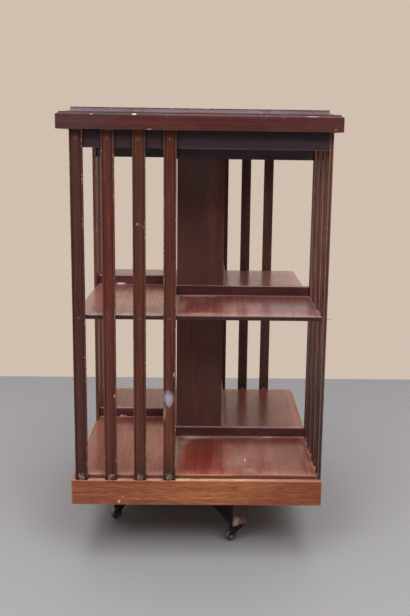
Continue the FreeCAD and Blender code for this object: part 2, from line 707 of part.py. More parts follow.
# ---------------------------------------------------------------- assembly
cross_bar("cross_bar_lower", 0, notch_from_top=True)
cross_bar("cross_bar_upper", 1, notch_from_top=False)
hub_block()
center_post()
pivot_pin()
group([caster_plate(quarter) for quarter in range(4)], "caster_plates")
caster_screws()
for quarter in range(4):
    caster_fork(quarter)
    caster_axle(quarter)
    caster_wheel(quarter)

board("bottom_board", rail_top, hole_circle=board_hole)
board("middle_shelf", middle_floor, hole_corners=f"({half_column} + {column_play})")
top_board()
for quarter in range(4):
    base_rail(quarter)
    frieze_rail(quarter)
    top_moulding(quarter)
    column_panel(quarter)
group([book_stop(quarter, bottom_top) for quarter in range(4)], "lower_book_stops")
group([book_stop(quarter, middle_top) for quarter in range(4)], "upper_book_stops")
group([top_bearer(quarter) for quarter in range(4)], "top_bearers")
bearing_block()
pivot_cup()
guide_bush()
# four slats to a side, but the back's corner slat is off this case
slat_slots = [(quarter, number) for quarter in range(4) for number in range(4)
              if (quarter, number) != (2, 0)]
for quarter, number in slat_slots:
    slat(quarter, number)
slat_screws(slat_slots)

# ---------------------------------------------------------------- check and write
doc.recompute()
for item in doc.Objects:
    if "Invalid" in item.State or "Error" in item.State:
        raise RuntimeError(f"{item.Label} failed: {item.State}")
os.makedirs("parts", exist_ok=True)
for node in nodes:
    if node.Shape.isNull() or not node.Shape.isValid():
        raise RuntimeError(f"{node.Label} has no valid shape")
    node.Shape.exportStep(os.path.join("parts", f"{node.Label}.step"))
print(len(nodes), "nodes written")
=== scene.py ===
import math

import bmesh
import bpy
from mathutils import Matrix, Vector


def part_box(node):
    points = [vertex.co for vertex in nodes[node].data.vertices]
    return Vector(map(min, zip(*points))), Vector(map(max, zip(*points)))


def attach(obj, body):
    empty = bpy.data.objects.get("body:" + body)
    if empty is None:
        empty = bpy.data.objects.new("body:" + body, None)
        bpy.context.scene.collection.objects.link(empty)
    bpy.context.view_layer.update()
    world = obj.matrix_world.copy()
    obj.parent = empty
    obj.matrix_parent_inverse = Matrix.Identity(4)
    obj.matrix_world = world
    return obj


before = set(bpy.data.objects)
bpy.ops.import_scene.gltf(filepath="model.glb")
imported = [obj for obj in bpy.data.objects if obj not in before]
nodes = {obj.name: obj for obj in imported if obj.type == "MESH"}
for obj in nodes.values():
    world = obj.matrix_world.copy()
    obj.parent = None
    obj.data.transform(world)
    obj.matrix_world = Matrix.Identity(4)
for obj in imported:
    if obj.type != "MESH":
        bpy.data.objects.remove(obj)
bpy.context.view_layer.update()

scene = bpy.context.scene
print("frame loaded,", len(nodes), "nodes")


class Wire:  # one socket of a material; sums on it add Math nodes
    def __init__(self, tree, socket=None):
        self.tree = tree
        self.socket = socket

    def node(self, kind, settings=None, sockets=None, out=0):  # any other node
        made = self.tree.nodes.new("ShaderNode" + kind)
        for key, setting in (settings or {}).items():
            if key == "stops":  # of a colour ramp
                ends = made.color_ramp.elements
                ends[0].position, ends[0].color = setting[0]
                ends[1].position, ends[1].color = setting[-1]
                for spot, colour in setting[1:-1]:
                    ends.new(spot).color = colour
            else:
                setattr(made, key, setting)
        for key, source in (sockets or {}).items():
            if isinstance(source, Wire):
                self.tree.links.new(source.socket, made.inputs[key])
            else:
                made.inputs[key].default_value = source
        return Wire(self.tree, made.outputs[out] if made.outputs else None)

    def other(self, out):  # another output of the same node
        return Wire(self.tree, self.socket.node.outputs[out])

    def maths(self, operation, *values):
        return self.node("Math", {"operation": operation}, dict(enumerate(values)))

    def __add__(self, value):
        return self.maths("ADD", self, value)

    def __sub__(self, value):
        return self.maths("SUBTRACT", self, value)

    def __rsub__(self, value):
        return self.maths("SUBTRACT", value, self)

    def __mul__(self, value):
        return self.maths("MULTIPLY", self, value)

    def __abs__(self):
        return self.maths("ABSOLUTE", self)

    __radd__ = __add__
    __rmul__ = __mul__

    def least(self, value):
        return self.maths("MINIMUM", self, value)

    def most(self, value):
        return self.maths("MAXIMUM", self, value)

    def fade(self, low, high, top=1.0):  # smooth, 0 at low and top at high
        return self.node("MapRange", {"interpolation_type": "SMOOTHSTEP"},
                         {"Value": self, "From Min": low, "From Max": high, "To Max": top})

    def paint(self, under, over):  # colour under where self is 0, over where it is 1
        return self.node("Mix", {"data_type": "RGBA"}, {0: self, 6: under, 7: over}, 2)


def tint(red, green, blue):  # screen colour, 0 to 255
    linear = [((c / 255 + 0.055) / 1.055) ** 2.4 if c > 10 else c / 255 / 12.92
              for c in (red, green, blue)]
    return (*linear, 1.0)


def blankMaterial(name):
    material = bpy.data.materials.new(name)
    material.use_nodes = True
    material.node_tree.nodes.clear()
    return material, Wire(material.node_tree)


def closeMaterial(wires, shader):
    wires.node("OutputMaterial", {}, {"Surface": shader})


def dress(name, material):  # give a CAD node its finish
    for slot in nodes[name].material_slots:
        slot.material = material


def faceOf(name):  # how far out from the middle a front piece reaches
    return -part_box(name)[0][1]


def footOf(name):  # the level of its underside
    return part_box(name)[0][2]


def topOf(name):  # the level of its top
    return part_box(name)[1][2]


def boxEdge(spot, name):  # distance to the nearest long edge of a box-like piece
    low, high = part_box(name)
    gaps = [(high[i] - low[i]) / 2 - abs(spot[i] - (high[i] + low[i]) / 2) for i in range(3)]
    return gaps[0].least(gaps[1]).most(gaps[0].most(gaps[1]).least(gaps[2]))


def ringEdge(spot, lines=(), corner=None):  # distance to edges that run round the square case
    x, y, z = spot
    outer = abs(x).most(abs(y))
    inner = abs(x).least(abs(y))
    gaps = [abs(outer - reach).most(abs(z - level)) for reach, level in lines]
    if corner:  # and to its upright corners
        gaps.append(abs(outer - corner).most(abs(inner - corner)))
    nearest = gaps[0]
    for gap in gaps[1:]:
        nearest = nearest.least(gap)
    return nearest


columnFace = faceOf("column_panel_front")
stopHalf = 0.0035                   # half the thickness of a book stop
stopLine = columnFace + stopHalf    # its middle, with one side in line with the column's face


def stopGap(spot):  # distance along a board to the nearest book stop of the pinwheel
    x, y = spot[:2]
    gaps = []
    for across, along, hand in ((y, x, 1), (x, y, -1)):
        beside = abs(abs(across) - stopLine) - stopHalf
        past = across.maths("SIGN", across) * along * hand - columnFace
        gaps.append(beside.most(past))
    return gaps[0].least(gaps[1])


def stopEdge(level):  # the long top edges of the book stops
    def edge(spot):
        x, y, z = spot
        wall = stopHalf - abs(abs(x).least(abs(y)) - stopLine)
        return abs(wall).most(abs(z - level))
    return edge


# how fine the timber is, in cycles a metre, and where its pores open
grain = {
    "bandAcross": 85, "bandAlong": 2.2,      # broad figure
    "fibreAcross": 620, "fibreAlong": 9,     # long fine streaks
    "fleckAcross": 430, "fleckAlong": 42,    # short dashes
    "shares": (0.45, 0.35, 0.20),            # of bands, streaks and dashes
    "poreAcross": 1500, "poreAlong": 75, "poreOpen": (0.6, 0.72),
    "cloudAcross": 9, "cloudAlong": 3,       # slow change of tone
    "smearAcross": 22, "smearAlong": 14,     # grease and handling
    "crumbled": 260,                         # broken outline of chips and marks
    "scratchAcross": 900, "scratchAlong": 7, "scratchTurn": 0.35,
    "bloomAcross": 34, "bloomAlong": 5,
}

# how wear lies on it, in metres
wear = {
    "rubWander": 0.004,                      # how far a rubbed edge strays
    "chipWander": 0.008, "chipFrom": -0.0036, "chipSoft": 0.0010,
    "dustWander": 0.006, "dustWide": 0.011, "dustThick": 0.002,    # beside the book stops
    "frontFrom": -0.15, "frontFull": -0.19,  # a board's border is worn most at the front
    "jointTall": 0.0016, "edgeSoft": 0.0005, "ledgeSoft": 0.0004, "beyondSoft": 0.0008,
    "grainDeep": 0.0004,
}

# what a finish, a ledge and a mark are unless they say otherwise
plainFinish = {
    "spread": 0.12, "cloud": 0.45,           # width of the tones, how far the stain shows
    "smudge": 0.12, "relief": 0.35,          # uneven gloss, depth of the grain
    "rub": 0.35, "rubWidth": 0.0025,         # rubbed edges
    "chips": 1.0, "chipReach": 0.0,          # chipped edges, and how much further in they go
    "gloss": 0.3, "coat": 0.0, "coatRough": 0.1, "coatIndex": 1.5,
    "ways": {}, "ledges": (), "marks": (),
}
plainLedge = {"reach": 0.0006, "dull": 0.0}
plainMark = {
    "fine": True, "ragged": 1.5,             # outline broken by fine or by broad noise, how far
    "core": 0.6, "thin": 0.0,                # how wide the full colour is, how much falls away
    "strength": 1.0, "dull": 0.25,           # how much it covers, how much rougher it is
    "deep": 0.0, "turn": 0.0,                # pressed in, turned about the upright
    "glaze": False,                          # when true it shades the timber and the grain shows
}
smearMark = {"fine": False, "core": 0.0}     # broad and soft
shadeMark = {**smearMark, "dull": 0.0, "glaze": True}  # a paler or darker patch of the timber


def timber(name, finish, along, seed, edgeOf=None):
    finish = {**plainFinish, **finish}
    ways = {**grain, **finish["ways"]}
    material, wires = blankMaterial(name)
    place = wires.node("TexCoord", out="Object")
    parts = wires.node("SeparateXYZ", {}, {0: place})
    spot = [parts, parts.other(1), parts.other(2)]
    outer = abs(spot[0]).most(abs(spot[1]))  # how far out from the case's middle
    shift = (seed * 1.37 % 9, seed * 2.11 % 7, seed * 0.73 % 8)  # each piece its own grain

    def streaks(lengthwise, crosswise, detail, bend=0.0, offset=0.0, turn=0.0):
        scale = [lengthwise if axis == along else crosswise for axis in "xyz"]
        turned = place
        if turn:
            turned = wires.node("VectorRotate", {"rotation_type": "Z_AXIS"},
                                {"Vector": place, "Angle": turn})
        stretched = wires.node("Mapping", {}, {"Vector": turned, "Scale": scale,
                                               "Location": [s + offset for s in shift]})
        return wires.node("TexNoise", {}, {"Vector": stretched, "Scale": 1.0,
                                           "Detail": detail, "Distortion": bend})

    def glaze(under, shade):  # shifts a colour as far as shade is off the main colour
        ratio = [a / b for a, b in zip(tint(*shade), tint(*finish["main"]))][:3]
        return wires.node("VectorMath", {"operation": "MULTIPLY"}, {0: under, 1: ratio})

    bands = streaks(ways["bandAlong"], ways["bandAcross"], detail=2.0, bend=0.6)
    fibre = streaks(ways["fibreAlong"], ways["fibreAcross"], detail=3.0, bend=0.2, offset=3.0)
    flecks = streaks(ways["fleckAlong"], ways["fleckAcross"], detail=2.0, offset=4.0)
    pores = streaks(ways["poreAlong"], ways["poreAcross"], detail=1.0, offset=5.0)
    pores = pores.fade(*ways["poreOpen"])
    cloud = streaks(ways["cloudAlong"], ways["cloudAcross"], detail=3.0, bend=0.4, offset=7.0)
    smear = streaks(ways["smearAlong"], ways["smearAcross"], detail=4.0, bend=1.2, offset=9.0)
    crumbled = streaks(ways["crumbled"], ways["crumbled"], detail=3.0, offset=11.0)

    shares = ways["shares"]
    figure = bands * shares[0] + fibre * shares[1] + flecks * shares[2]
    stops = [(0.5 - finish["spread"], tint(*finish["dark"])),
             (0.5, tint(*finish["main"])),
             (0.5 + finish["spread"], tint(*finish["light"]))]
    colour = wires.node("ValToRGB", {"stops": stops}, {0: figure})
    colour = cloud.fade(0.42, 0.68, finish["cloud"]).paint(colour, tint(*finish["stain"]))
    colour = (pores * 0.5).paint(colour, tint(*finish["pore"]))
    rough = finish["rough"] + smear.fade(0.4, 0.7, finish["smudge"]) + pores * 0.08
    height = fibre * 0.3 - pores * 0.5
    coat = finish["coat"]

    if "scuffs" in finish:  # fine scratches, and a dull bloom where hands and books rubbed
        scratches = streaks(ways["scratchAlong"], ways["scratchAcross"], detail=2.0, bend=0.3,
                            offset=13.0, turn=ways["scratchTurn"]).fade(0.66, 0.74)
        scratches = scratches * smear.fade(0.44, 0.6) * finish["scuffs"]
        bloom = streaks(ways["bloomAlong"], ways["bloomAcross"], detail=4.0, bend=0.8, offset=15.0)
        bloom = bloom.fade(0.5, 0.7, finish["scuffs"] * 0.6)
        colour = scratches.most(bloom * 0.5).paint(colour, tint(*finish["rubbed"]))
        rough = rough + scratches * 0.3 + bloom * 0.3

    if "border" in finish:  # a board's worn border, dust beside its stops, and its darker edge
        border = finish["border"]
        patchy = 0.55 + smear.fade(0.35, 0.65, 0.45)
        nearFront = 0.35 + spot[1].fade(wear["frontFrom"], wear["frontFull"], 0.65)
        worn = outer.fade(border["from"], border["edge"]) * patchy * nearFront
        beside = stopGap(spot) + (crumbled - 0.5) * wear["dustWander"]
        dust = beside.fade(wear["dustWide"], wear["dustThick"]) * border["dusty"]
        edging = outer.fade(border["edge"], border["edge"] + wear["edgeSoft"])
        colour = (worn * border["strength"]).paint(colour, glaze(colour, border["worn"]))
        colour = dust.paint(colour, tint(*border["dust"]))
        colour = edging.paint(colour, tint(*border["shade"]))
        rough = rough + dust * 0.3
        coat = (1 - edging) * (1 - dust) * coat

    if "foot" in finish:  # a dark joint line along the foot
        joint = spot[2].fade(finish["foot"] + wear["jointTall"], finish["foot"])
        colour = joint.paint(colour, tint(*finish["pore"]))

    for ledge in finish["ledges"]:  # what lies between two levels, such as dust or a dark joint
        ledge = {**plainLedge, **ledge}
        lying = spot[2].fade(ledge["level"] - ledge["reach"], ledge["level"])
        if "upTo" in ledge:
            lying = lying * spot[2].fade(ledge["upTo"] + wear["ledgeSoft"], ledge["upTo"])
        if "beyond" in ledge:
            lying = lying * outer.fade(ledge["beyond"] - wear["beyondSoft"], ledge["beyond"])
        patchy = 0.35 + smear.fade(0.3, 0.7, 0.65)
        colour = (lying * patchy * ledge["strength"]).paint(colour, tint(*ledge["colour"]))
        rough = rough + lying * ledge["dull"]
        if "coat" in ledge:
            coat = lying * ledge["coat"] + (1 - lying) * coat

    if edgeOf:  # rubbed and chipped along the edges
        edge = edgeOf(spot)
        rub = (edge + (cloud - 0.5) * wear["rubWander"]).fade(finish["rubWidth"], 0.0)
        colour = (rub * finish["rub"]).paint(colour, tint(*finish["rubbed"]))
        reach = finish["chipReach"] + wear["chipFrom"]
        chip = (edge - crumbled * wear["chipWander"]).fade(reach, reach - wear["chipSoft"])
        chip = chip * smear.fade(0.52, 0.58) * finish["chips"]
        colour = chip.paint(colour, tint(*finish["bare"]))
        rough = rough + rub * 0.08 + chip * 0.35
        height = height - chip * 2.0

    for mark in finish["marks"]:  # single marks that this piece carries
        mark = {**plainMark, **mark}
        moved = wires.node("Mapping", {"vector_type": "TEXTURE"},
                           {"Vector": place, "Location": mark["at"], "Scale": mark["size"],
                            "Rotation": (0.0, 0.0, mark["turn"])})
        far = wires.node("VectorMath", {"operation": "LENGTH"}, {0: moved}, 1)
        outline = crumbled if mark["fine"] else smear
        far = far + mark["thin"] + (outline - 0.5) * mark["ragged"]
        there = far.fade(1.0, mark["core"]) * mark["strength"]
        over = glaze(colour, mark["colour"]) if mark["glaze"] else tint(*mark["colour"])
        colour = there.paint(colour, over)
        rough = rough + there * mark["dull"]
        height = height - there * mark["deep"]

    bump = wires.node("Bump", {}, {"Strength": finish["relief"], "Height": height,
                                   "Distance": wear["grainDeep"]})
    closeMaterial(wires, wires.node("BsdfPrincipled", {}, {
        "Base Color": colour, "Roughness": rough.least(0.95), "IOR": 1.5,
        "Specular IOR Level": finish["gloss"], "Normal": bump, "Coat Weight": coat,
        "Coat Roughness": finish["coatRough"], "Coat IOR": finish["coatIndex"]}))
    return material


def dressSides(start, label, finish, seed, edgeOf, onFront=None, upright=False):
    # four like pieces round the case; the front one may change its finish
    for count, side in enumerate(("front", "right", "back", "left")):
        own = {**finish, **(onFront or {})} if side == "front" else finish
        along = "z" if upright else "xy"[count % 2]
        dress(start + side, timber(label + side.capitalize(), own, along, seed + count, edgeOf))


# top: four edge mouldings round a board
fasciaFace = faceOf("top_moulding_front")
fasciaFoot = footOf("top_moulding_front")
topLevel = topOf("top_moulding_front")
fasciaTop = topLevel - 0.0130
mouldingLines = [  # reach and level of its long edges: fascia, step and lip
    (fasciaFace, fasciaTop), (fasciaFace, fasciaFoot),
    (fasciaFace - 0.0047, topLevel - 0.0083), (fasciaFace - 0.0216, topLevel),
]


def band(foot, head, colour, strength, **more):  # foot and head measured down from the top
    return {"level": topLevel - foot, "upTo": topLevel - head, "colour": colour,
            "strength": strength, **more}


topFinish = {
    "dark": (78, 36, 33), "main": (94, 46, 42), "light": (108, 56, 50), "stain": (84, 49, 49),
    "pore": (36, 16, 16), "rubbed": (128, 84, 76), "bare": (196, 158, 134),
    "rough": 0.26, "smudge": 0.14, "rub": 0.2, "chips": 0.5, "relief": 0.2, "gloss": 0.45,
    "coatIndex": 1.8, "coatRough": 0.2,
    # bands along the moulding: dust, painted shade on the bevel's foot and step, painted
    # reflection on the lilac-grey bevel, cove and lip
    "ledges": [
        band(0.0132, 0.0117, (52, 34, 38), 1.0, dull=0.6),       # painted shade: the bevel's foot darkened like the upright fascia below it
        band(0.0113, 0.0104, (84, 68, 76), 0.5, coat=0.3),       # bevel, lilac-grey: dust and painted reflection of the light above
        band(0.0100, 0.0086, (58, 44, 50), 1.0, dull=0.4),       # step, darkened with painted shade
        band(0.0081, 0.0036, (90, 84, 98), 0.6, coat=0.9),       # cove, lilac-grey: dust and painted reflection of the light above
        band(0.0033, 0.0018, (150, 138, 150), 0.9),              # pale foot of the lip: dust and painted reflection
        {"level": topLevel - 0.0012, "beyond": fasciaFace - 0.0222, "colour": (40, 30, 30),
         "strength": 1.0, "dull": 0.5},                          # dark top of the lip
    ],
}
fasciaMarks = [  # a greyer patch low down and a dark line along the top, then chips along both edges
    {**smearMark, "at": (-0.2100, -fasciaFace, fasciaFoot + 0.0120),
     "size": (0.1200, 0.010, 0.030), "colour": (84, 62, 66), "ragged": 0.6, "strength": 0.5,
     "dull": 0.0},
    {**smearMark, "at": (-0.1900, -fasciaFace, fasciaTop + 0.0005),
     "size": (0.2400, 0.006, 0.006), "colour": (60, 44, 50), "ragged": 0.6, "strength": 0.75,
     "dull": 0.0},
    {"at": (-0.1802, 0.0005 - fasciaFace, fasciaTop + 0.0005), "size": (0.0035, 0.004, 0.0016),
     "colour": (150, 118, 108)},
    {"at": (-0.1094, 0.0015 - fasciaFace, fasciaTop + 0.0015), "size": (0.0042, 0.004, 0.0018),
     "colour": (226, 208, 196)},
    {"at": (-0.0847, -fasciaFace, fasciaFoot + 0.0006), "size": (0.0040, 0.003, 0.0012),
     "colour": (196, 166, 150)},
    {"at": (0.1870, 0.0010 - fasciaFace, fasciaTop + 0.0012), "size": (0.0120, 0.004, 0.0010),
     "colour": (160, 136, 126)},
    {"at": (0.2261, -fasciaFace, fasciaFoot + 0.0045), "size": (0.0022, 0.003, 0.0016),
     "colour": (150, 110, 96)},
]
dressSides("top_moulding_", "topMoulding", topFinish, 11,
           lambda spot: ringEdge(spot, mouldingLines, fasciaFace), {"marks": fasciaMarks})
boardFinish = {
    **topFinish, "rough": 0.3, "scuffs": 0.35, "coatIndex": 1.5,
    "ledges": [{"level": topLevel - 0.0010, "colour": (104, 80, 78), "strength": 0.25,
                "coat": 0.6}],
    "ways": {"bandAcross": 46, "bandAlong": 3.0, "shares": (0.6, 0.28, 0.12)},
}
dress("top_board", timber("topBoard", boardFinish, "x", 19))
print("top dressed")

# frieze and what hangs under it
friezeFinish = {
    "dark": (58, 45, 51), "main": (69, 52, 59), "light": (79, 58, 63), "stain": (65, 54, 63),
    "pore": (26, 18, 20), "rubbed": (128, 100, 100), "bare": (160, 128, 116),
    "rough": 0.36, "smudge": 0.12, "rub": 0.9, "chips": 0.3, "rubWidth": 0.0016, "gloss": 0.25,
}
friezeLine = (faceOf("frieze_rail_front"), footOf("frieze_rail_front"))
dressSides("frieze_rail_", "frieze", friezeFinish, 23, lambda spot: ringEdge(spot, [friezeLine]))
bearerFinish = {**friezeFinish, "dark": (80, 70, 72), "main": (94, 84, 84),
                "light": (106, 94, 93), "stain": (86, 79, 83)}
dress("top_bearers", timber("topBearers", bearerFinish, "x", 29))
print("frieze dressed")

# base rails
railFace = faceOf("base_rail_front")
railFoot = footOf("base_rail_front")
railTop = topOf("base_rail_front")
railDust = {"level": railTop, "colour": (228, 186, 156), "strength": 0.35}
railFinish = {
    "dark": (124, 62, 40), "main": (153, 85, 56), "light": (188, 116, 78), "stain": (142, 70, 52),
    "pore": (100, 48, 30), "rubbed": (196, 146, 112), "bare": (226, 190, 156), "cloud": 0.4,
    "rough": 0.4, "smudge": 0.16, "rub": 0.4, "chips": 0.6, "relief": 0.3, "spread": 0.135,
    "ways": {"bandAcross": 170, "bandAlong": 5, "fleckAcross": 520, "fleckAlong": 46,
             "poreAcross": 860, "poreAlong": 60, "shares": (0.2, 0.38, 0.42)},
    "ledges": [railDust],
}
railMarks = [  # a warmer middle, a rubbed top at the right, and three pale chips
    {**shadeMark, "at": (0.0250, -railFace, railFoot + 0.0240), "size": (0.170, 0.060, 0.060),
     "colour": (190, 116, 70), "ragged": 0.7, "strength": 0.65},
    {**smearMark, "at": (0.1700, 0.0037 - railFace, railTop + 0.0005),
     "size": (0.100, 0.012, 0.003), "colour": (168, 122, 104), "ragged": 0.7, "core": 0.2,
     "strength": 0.7, "dull": 0.0},
    {"at": (-0.1419, -railFace, railFoot + 0.0070), "size": (0.0035, 0.004, 0.0036),
     "colour": (232, 190, 158)},
    {"at": (-0.1345, -railFace, railFoot + 0.0155), "size": (0.0024, 0.004, 0.0018),
     "colour": (196, 142, 104)},
    {"at": (-0.0524, -railFace, railFoot + 0.0002), "size": (0.0060, 0.004, 0.0012),
     "colour": (170, 120, 92)},
]
dressSides("base_rail_", "baseRail", railFinish, 31,
           lambda spot: ringEdge(spot, [(railFace, railFoot), (railFace, railTop)], railFace),
           {"marks": railMarks, "ledges": [{**railDust, "strength": 1.0}]})
print("base rails dressed")

# shelf boards, their grain running front to back
boardFace = faceOf("middle_shelf")
middleTop = topOf("middle_shelf")
bottomTop = topOf("bottom_board")
shelfFinish = {
    "dark": (134, 60, 46), "main": (152, 76, 61), "light": (170, 92, 74), "stain": (142, 76, 68),
    "pore": (96, 44, 36), "rubbed": (186, 140, 124), "bare": (212, 170, 140),
    "rough": 0.36, "smudge": 0.16, "rub": 0.3, "chips": 0.5, "relief": 0.12, "cloud": 0.5,
    "spread": 0.1, "scuffs": 0.4, "gloss": 0.5, "coat": 0.9, "coatRough": 0.22,
}
middleMarks = [  # a rubbed front, uneven polish, painted reflection of the pale backdrop on the right, dust, and fine specks
    {**smearMark, "at": (0.0020, -0.2060, middleTop), "size": (0.0450, 0.012, 0.004),
     "colour": (212, 156, 126), "ragged": 3.0, "core": 0.2, "strength": 0.85},
    {**shadeMark, "at": (-0.1100, -0.0900, middleTop), "size": (0.1200, 0.170, 0.010),
     "colour": (222, 140, 112), "ragged": 0.9, "strength": 0.6},
    {**smearMark, "at": (-0.0050, -0.0600, middleTop), "size": (0.0640, 0.018, 0.006),
     "colour": (206, 182, 184), "ragged": 0.8, "core": 0.3, "strength": 0.7, "dull": 0.3},
    {**smearMark, "at": (-0.0330, -0.1350, middleTop), "size": (0.0110, 0.060, 0.006),
     "colour": (190, 156, 158), "ragged": 1.6, "strength": 0.5, "dull": 0.3},
    {**shadeMark, "at": (0.0100, -0.1450, middleTop), "size": (0.0480, 0.050, 0.010),
     "colour": (142, 62, 56), "ragged": 1.2, "strength": 0.6},
    {**shadeMark, "at": (0.0450, -0.1000, middleTop), "size": (0.0400, 0.030, 0.010),
     "colour": (136, 64, 60), "ragged": 1.2, "strength": 0.6},
    # paler and greyer on the right: painted reflection of the pale backdrop
    {**shadeMark, "at": (0.1020, -0.1600, middleTop), "size": (0.0420, 0.070, 0.010),
     "colour": (190, 136, 130), "ragged": 1.2, "strength": 0.7},
    {**shadeMark, "at": (0.1680, -0.1450, middleTop), "size": (0.0700, 0.100, 0.010),
     "colour": (146, 96, 99), "ragged": 1.2, "core": 0.3, "strength": 0.9},
    {"at": (0.1080, -0.1500, middleTop), "size": (0.0900, 0.070, 0.006),
     "colour": (206, 170, 164), "ragged": 5.0, "strength": 0.35, "thin": 1.2},
    {"at": (-0.0360, -0.1900, middleTop), "size": (0.0090, 0.020, 0.004),
     "colour": (216, 186, 180), "ragged": 5.0, "core": 0.3, "strength": 0.5, "thin": 0.8},
]
bottomMarks = [  # scratches and specks, a rubbed front edge, dust, uneven polish, and a pale patch of painted sheen
    {"at": (0.0910, -0.1604, bottomTop), "size": (0.0020, 0.011, 0.004),
     "colour": (214, 178, 164), "strength": 0.85},
    {"at": (0.0982, -0.2006, bottomTop), "size": (0.0180, 0.012, 0.004),
     "colour": (206, 160, 146), "ragged": 5.0, "core": 0.2, "strength": 0.7, "thin": 0.3},
    {"at": (0.0730, -0.1600, bottomTop), "size": (0.0500, 0.055, 0.004),
     "colour": (214, 180, 168), "ragged": 6.0, "core": 0.5, "strength": 0.42, "thin": 1.0},
    {**smearMark, "at": (0.0700, -0.1650, bottomTop), "size": (0.0300, 0.045, 0.006),
     "colour": (196, 150, 138), "ragged": 1.4, "strength": 0.22, "dull": 0.1},
    {**shadeMark, "at": (0.0060, -0.1500, bottomTop), "size": (0.0520, 0.085, 0.010),
     "colour": (152, 54, 42), "ragged": 1.0, "core": 0.1, "strength": 0.55},
    {"at": (0.0180, 0.0003 - boardFace, bottomTop), "size": (0.0750, 0.002, 0.002),
     "colour": (216, 138, 92), "ragged": 1.2, "core": 0.4, "strength": 0.8, "dull": 0.1},
    {**smearMark, "at": (0.0500, -0.0600, bottomTop), "size": (0.1200, 0.012, 0.006),
     "colour": (186, 156, 152), "ragged": 1.6, "core": 0.1, "strength": 0.5, "dull": 0.4},
    {**smearMark, "at": (-0.0100, -0.0620, bottomTop), "size": (0.0420, 0.011, 0.006),
     "colour": (204, 184, 182), "ragged": 1.4, "core": 0.2, "strength": 0.8, "dull": 0.4},
    {**smearMark, "at": (-0.0360, -0.1350, bottomTop), "size": (0.0110, 0.085, 0.006),
     "colour": (130, 104, 112), "ragged": 1.6, "strength": 0.55, "dull": 0.2},
    {"at": (0.1420, -0.0570, bottomTop), "size": (0.0140, 0.003, 0.006),
     "colour": (240, 228, 220)},
    {**smearMark, "at": (-0.0330, -0.0900, bottomTop), "size": (0.0220, 0.040, 0.006),
     "colour": (190, 168, 166), "ragged": 2.0, "strength": 0.6, "dull": 0.3},
    {**shadeMark, "at": (-0.0900, -0.0900, bottomTop), "size": (0.1000, 0.160, 0.010),
     "colour": (220, 122, 84), "ragged": 0.9, "strength": 0.7},
    # a pale patch of painted sheen
    {**shadeMark, "at": (0.1100, -0.1200, bottomTop), "size": (0.0650, 0.085, 0.010),
     "colour": (194, 130, 116), "ragged": 0.9, "strength": 0.6},
    {**shadeMark, "at": (0.1800, -0.1800, bottomTop), "size": (0.0650, 0.060, 0.010),
     "colour": (138, 76, 66), "ragged": 0.9, "core": 0.2, "strength": 0.8},
    {**shadeMark, "at": (0.1500, 0.1100, bottomTop), "size": (0.1300, 0.150, 0.010),
     "colour": (112, 54, 42), "ragged": 0.9, "strength": 0.6},
]
middleFinish = {
    **shelfFinish, "dark": (140, 74, 69), "main": (160, 92, 87), "light": (178, 109, 102),
    "stain": (155, 96, 96), "marks": middleMarks,
    "border": {"from": boardFace - 0.0345, "edge": boardFace - 0.0013, "worn": (216, 158, 150),
               "strength": 0.75, "shade": (56, 26, 22), "dust": (206, 172, 166), "dusty": 0.8},
}
bottomFinish = {
    **shelfFinish, "rub": 0.4, "marks": bottomMarks,
    "border": {"from": boardFace - 0.0245, "edge": boardFace - 0.0013, "worn": (206, 132, 112),
               "strength": 0.6, "shade": (112, 54, 34), "dust": (196, 164, 158), "dusty": 0.75},
}
dress("middle_shelf", timber(
    "middleShelf", middleFinish, "y", 41,
    lambda spot: ringEdge(spot, [(boardFace, middleTop)], boardFace)))
dress("bottom_board", timber(
    "bottomBoard", bottomFinish, "y", 42,
    lambda spot: ringEdge(spot, [(boardFace, bottomTop)], boardFace)))
print("shelf boards dressed")

# book stops
stopFinish = {**shelfFinish, "dark": (75, 36, 37), "main": (91, 46, 48), "light": (105, 57, 57),
              "stain": (83, 48, 52), "rubbed": (196, 158, 152), "coat": 0.2, "rub": 0.8,
              "rubWidth": 0.0018, "gloss": 0.3, "scuffs": 0.2}
stopCrumbs = {  # pale specks at the foot of one stop: length of the first, strength of both
    "lower_book_stops": (0.0050, 0.6, 0.5), "upper_book_stops": (0.0090, 1.0, 1.0)}
for seed, name in enumerate(stopCrumbs, 43):
    long, first, second = stopCrumbs[name]
    foot = footOf(name)
    top = topOf(name)
    crumbs = [
        {"at": (-0.1720, columnFace, foot + 0.0008), "size": (long, 0.004, 0.0030),
         "colour": (250, 244, 238), "core": 0.5, "strength": first},
        {"at": (-0.1640, columnFace, foot + 0.0010), "size": (0.0030, 0.004, 0.0026),
         "colour": (246, 236, 230), "core": 0.3, "strength": second},
    ]
    dust = {"level": top, "reach": 0.0012, "colour": (206, 172, 166), "strength": 1.0}
    finish = {**stopFinish, "foot": foot, "ledges": [dust], "marks": crumbs}
    dress(name, timber(name.replace("_", "-"), finish, "x", seed, stopEdge(top)))
print("book stops dressed")

# column
columnFinish = {
    "dark": (97, 60, 53), "main": (107, 67, 60), "light": (117, 75, 66), "stain": (93, 64, 61),
    "pore": (70, 40, 35), "rubbed": (132, 92, 82), "bare": (170, 130, 104), "cloud": 0.8,
    "rough": 0.36, "smudge": 0.16, "rub": 0.3, "chips": 0.1, "relief": 0.12, "gloss": 0.25,
    "ways": {"bandAcross": 34, "bandAlong": 3, "shares": (0.6, 0.25, 0.15)},
}
columnMarks = [  # paler near the top, painted light against the shade under the top board; redder patches below
    {**shadeMark, "at": (0.0, -columnFace, 0.7300), "size": (0.0700, 0.020, 0.100),
     "colour": (132, 96, 88), "ragged": 0.6, "strength": 0.8},
    {**shadeMark, "at": (0.0200, -columnFace, 0.6350), "size": (0.0280, 0.020, 0.090),
     "colour": (130, 80, 64), "ragged": 1.6, "strength": 0.7},
    {**shadeMark, "at": (-0.0280, -columnFace, 0.3500), "size": (0.0220, 0.020, 0.100),
     "colour": (118, 68, 56), "ragged": 1.2, "strength": 0.5},
]
dressSides("column_panel_", "column", columnFinish, 51,
           lambda spot: ringEdge(spot, corner=columnFace), {"marks": columnMarks}, upright=True)
print("column dressed")

